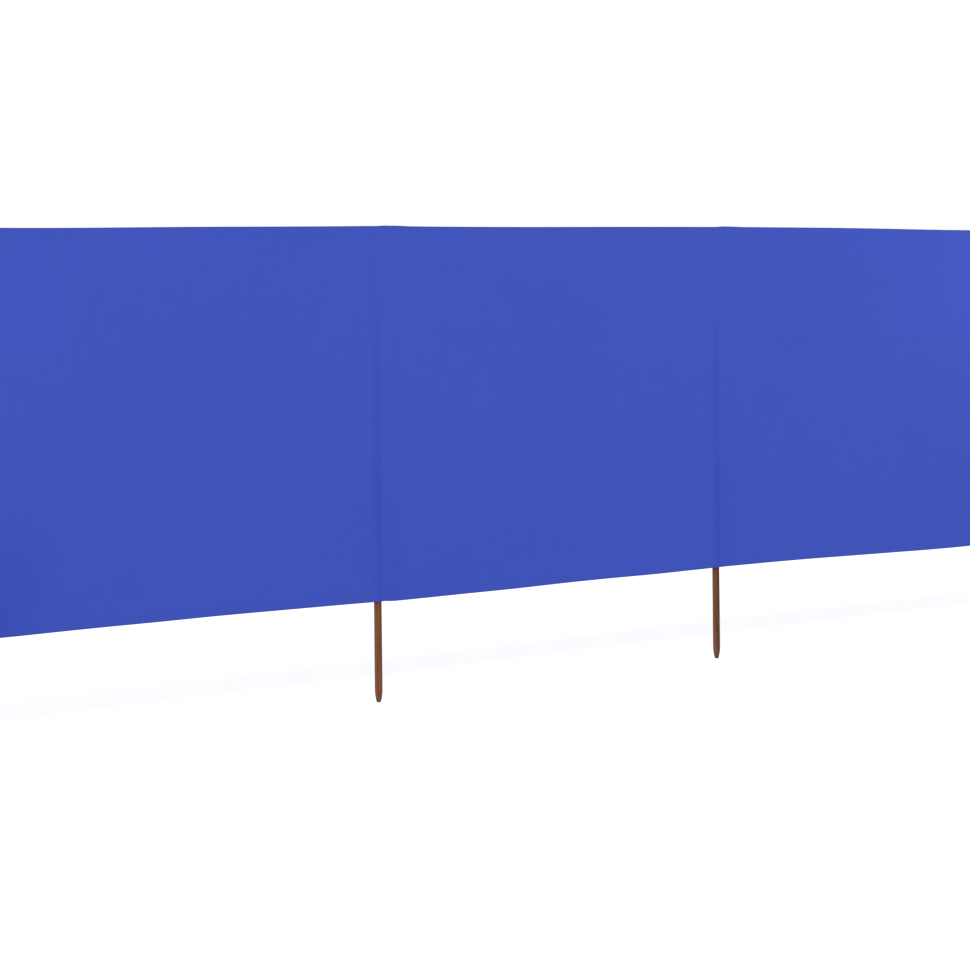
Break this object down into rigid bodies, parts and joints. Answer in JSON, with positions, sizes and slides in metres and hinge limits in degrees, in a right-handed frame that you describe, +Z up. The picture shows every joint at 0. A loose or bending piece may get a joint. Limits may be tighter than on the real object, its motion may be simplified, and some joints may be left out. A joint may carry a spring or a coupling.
{
  "type": "fabric windbreak",
  "caption": "Fabric windbreak in equal bays: a taut woven cloth screen sewn in sleeves over round wooden posts, whose bare pointed feet are driven into the ground.",
  "frame": {"origin": "middle of the blunt foot of the centre post", "axes": "+X along the windbreak, +Z up the posts, and +Y from the plain front of the cloth to its sleeved back, so the pictured front faces -Y"},
  "size_m": [8.0252, 0.0272, 1.52],
  "materials": {
    "cloth": "matte",
    "sleeve_cloth": "matte",
    "post_wood": "satin"
  },
  "bodies": {
    "root": {"cloth_panel_1": "cloth", "cloth_panel_2": "cloth", "cloth_panel_3": "cloth", "cloth_panel_4": "cloth", "cloth_panel_5": "cloth", "cloth_panel_6": "cloth", "post_sleeve_1": "sleeve_cloth", "post_sleeve_2": "sleeve_cloth", "post_sleeve_3": "sleeve_cloth", "post_sleeve_4": "sleeve_cloth", "post_sleeve_5": "sleeve_cloth", "post_sleeve_6": "sleeve_cloth", "post_sleeve_7": "sleeve_cloth", "post_1": "post_wood", "post_2": "post_wood", "post_3": "post_wood", "post_4": "post_wood", "post_5": "post_wood", "post_6": "post_wood", "post_7": "post_wood"}
  },
  "joints": []
}
